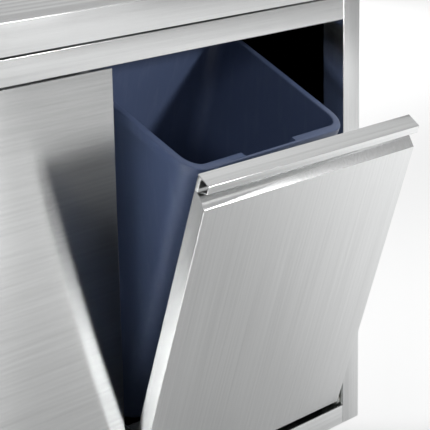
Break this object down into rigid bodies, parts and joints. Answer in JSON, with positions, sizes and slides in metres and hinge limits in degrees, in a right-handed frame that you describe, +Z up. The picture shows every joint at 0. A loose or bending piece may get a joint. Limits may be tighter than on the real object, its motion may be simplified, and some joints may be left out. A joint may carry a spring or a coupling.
{
  "type": "waste bin cabinet",
  "caption": "Stainless-steel work cabinet with a fluted worktop, a plain fixed front and a tilt-out front with a grip bar that carries a plastic waste bin.",
  "frame": {"origin": "middle of the base of the object's box, on the floor", "axes": "+X to the right along the fronts, +Y from the fronts into the cabinet, +Z up"},
  "size_m": [1, 0.7412, 0.85],
  "materials": {
    "upright": "brushed along its length",
    "level": "brushed along its length",
    "panel": "brushed upright",
    "front": "brushed upright",
    "grip": "brushed along its length",
    "worktop": "brushed along its length",
    "inner": "mill finish",
    "zinc": "zinc plated, satin",
    "pin": "turned, bright",
    "bin": "moulded, satin",
    "rubber": "matt",
    "foot": "moulded, matt",
    "nylon": "turned, satin"
  },
  "bodies": {
    "cabinet": {"post_front_left": "upright", "post_front_right": "upright", "post_rear_left": "upright", "post_rear_right": "upright", "rail_front_top": "level", "rail_front_bottom": "level", "rail_rear_top": "level", "rail_rear_bottom": "level", "rail_left_top": "level", "rail_left_bottom": "level", "rail_right_top": "level", "rail_right_bottom": "level", "side_panel_left": "panel", "side_panel_right": "panel", "back_panel": "panel", "floor_panel": "inner", "divider": "inner", "front_panel_left": "front", "panel_bracket_left_lower": "zinc", "panel_bracket_right_lower": "zinc", "panel_bracket_left_upper": "zinc", "panel_bracket_right_upper": "zinc", "worktop": "worktop", "worktop_stiffener_front": "zinc", "worktop_stiffener_rear": "zinc", "leg_front_left": "upright", "leg_foot_front_left": "foot", "leg_front_right": "upright", "leg_foot_front_right": "foot", "leg_rear_left": "upright", "leg_foot_rear_left": "foot", "leg_rear_right": "upright", "leg_foot_rear_right": "foot", "pivot_bracket_left": "zinc", "pivot_bracket_right": "zinc", "pivot_pin_left": "pin", "pivot_pin_right": "pin", "closing_stop_left": "zinc", "closing_stop_right": "zinc", "closing_buffer_left": "rubber", "closing_buffer_right": "rubber", "opening_stop_left": "zinc", "opening_stop_right": "zinc", "opening_pad_left": "rubber", "opening_pad_right": "rubber"},
    "tilt_front": {"tilt_front_skin": "front", "grip_bar": "grip", "tilt_front_liner": "inner", "bin_shelf": "inner", "bin_locator": "inner", "hinge_ear_left": "zinc", "hinge_ear_right": "zinc", "pivot_bush_left": "nylon", "pivot_bush_right": "nylon", "shelf_gusset_left": "inner", "shelf_gusset_right": "inner"},
    "bin": {"waste_bin": "bin"}
  },
  "joints": [
    {"name": "tilt_front_hinge", "type": "hinge", "parent": "cabinet", "child": "tilt_front", "pos_m": [0.23225, -0.22138, 0.2065], "axis": [1, 0, 0], "range_deg": [-18, 0]},
    {"name": "bin_lift", "type": "slide", "parent": "tilt_front", "child": "bin", "axis": [0, -0.309, 0.9511], "range_m": [0, 0.03]}
  ]
}
